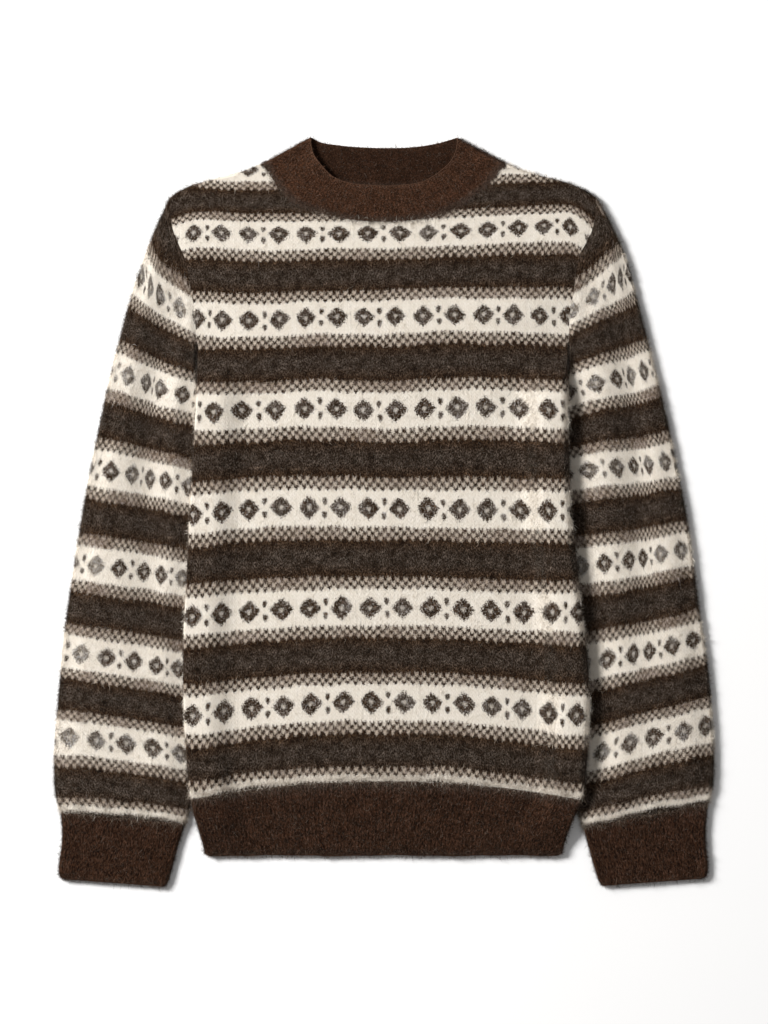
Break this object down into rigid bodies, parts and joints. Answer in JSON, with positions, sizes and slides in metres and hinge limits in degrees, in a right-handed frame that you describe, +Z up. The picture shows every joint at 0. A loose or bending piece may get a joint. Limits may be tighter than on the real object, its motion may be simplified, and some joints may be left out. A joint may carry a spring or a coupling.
{
  "type": "striped wool sweater",
  "caption": "Long-sleeved wool pullover laid flat, front up, with knitted stripes and diamonds, a ribbed crew neckband, hem and cuffs.",
  "frame": {"origin": "on the surface the sweater lies on, under the middle of the laid garment", "axes": "+Y from the hem to the neck, +X to the right as seen from above, +Z up through the back layer and then the front layer"},
  "size_m": [0.6118, 0.6956, 0.0126],
  "materials": {
    "striped_wool": "brushed two-colour stockinette in cream, brown and charcoal wool",
    "brown_rib": "brushed 1x1 rib in dark brown wool"
  },
  "bodies": {
    "root": {"front": "striped_wool", "back": "striped_wool", "sleeve_left": "striped_wool", "sleeve_right": "striped_wool", "neckband": "brown_rib", "hem_front": "brown_rib", "hem_back": "brown_rib", "cuff_left": "brown_rib", "cuff_right": "brown_rib"}
  },
  "joints": []
}
